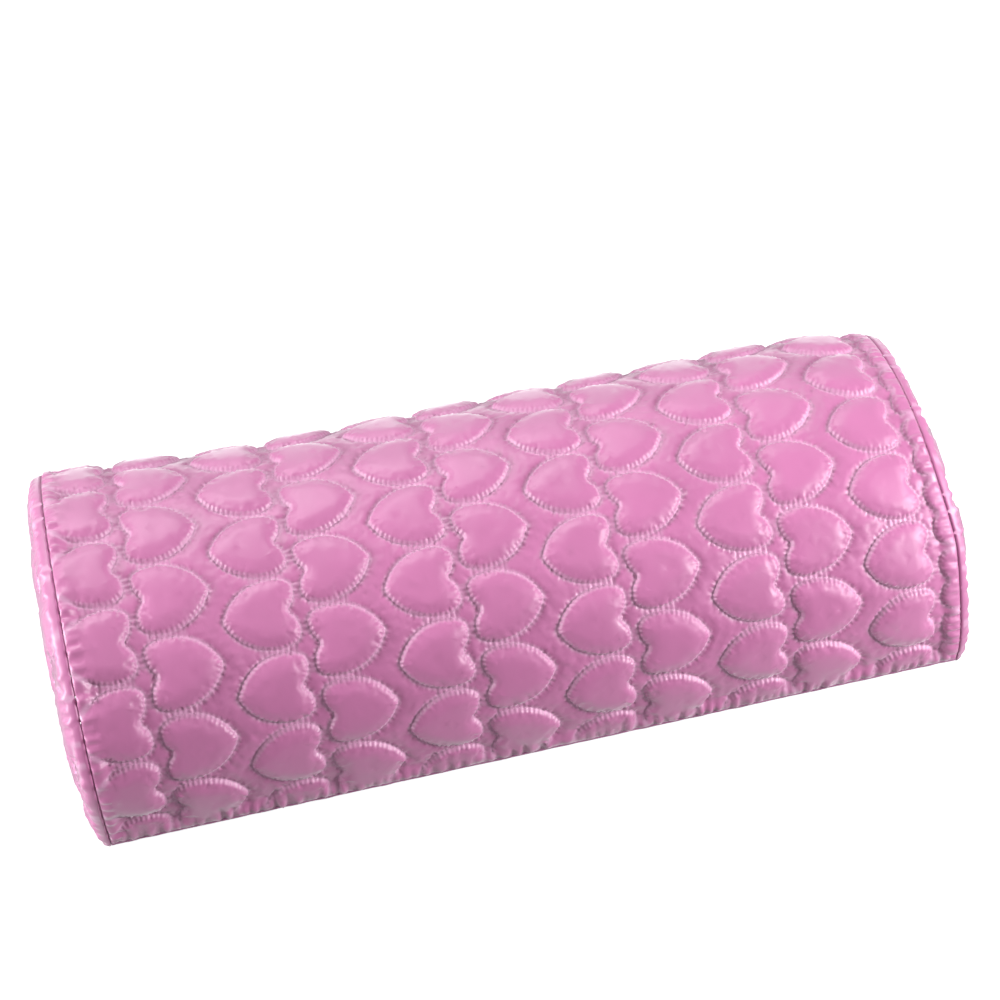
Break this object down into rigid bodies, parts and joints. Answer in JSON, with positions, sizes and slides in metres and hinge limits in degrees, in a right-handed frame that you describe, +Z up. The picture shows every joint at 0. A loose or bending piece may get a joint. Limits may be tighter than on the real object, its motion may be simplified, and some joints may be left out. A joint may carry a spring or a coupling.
{
  "type": "manicure hand rest cushion",
  "caption": "Half-round foam hand rest with a removable pink satin cover, quilted with hearts over the arch and the ends, and a zip along the rear lower edge.",
  "frame": {"origin": "middle of the flat base, on the surface that the hand rest stands on", "axes": "+X along the cushion to its right end, -Y towards its front, +Z up"},
  "size_m": [0.3042, 0.132, 0.064],
  "materials": {
    "quilted_satin": "soft pink satin over wadding, stitched in hearts",
    "base_cloth": "plain woven base cloth",
    "foam": "soft open-cell foam",
    "zip_tape": "woven tape",
    "zip_coil": "satin nylon coil",
    "zip_metal": "satin plated"
  },
  "bodies": {
    "cushion": {"foam_core": "foam", "quilted_top_panel": "quilted_satin", "end_panel_left": "quilted_satin", "end_panel_right": "quilted_satin", "base_panel": "base_cloth", "zip_tape_upper": "zip_tape", "zip_tape_lower": "zip_tape", "zip_coil_upper": "zip_coil", "zip_coil_lower": "zip_coil", "zip_top_stop_upper": "zip_metal", "zip_top_stop_lower": "zip_metal", "zip_bottom_stop": "zip_metal"},
    "zip_slider": {"zip_slider": "zip_metal"},
    "zip_pull": {"zip_pull": "zip_metal"}
  },
  "joints": [
    {"name": "zip_slide", "type": "slide", "parent": "cushion", "child": "zip_slider", "axis": [-1, 0, 0], "range_m": [0, 0.2508]},
    {"name": "pull_swing", "type": "hinge", "parent": "zip_slider", "child": "zip_pull", "pos_m": [0.1254, 0.06447, 0.01128], "axis": [0, 0.1327, -0.9912], "range_deg": [0, 170]}
  ]
}
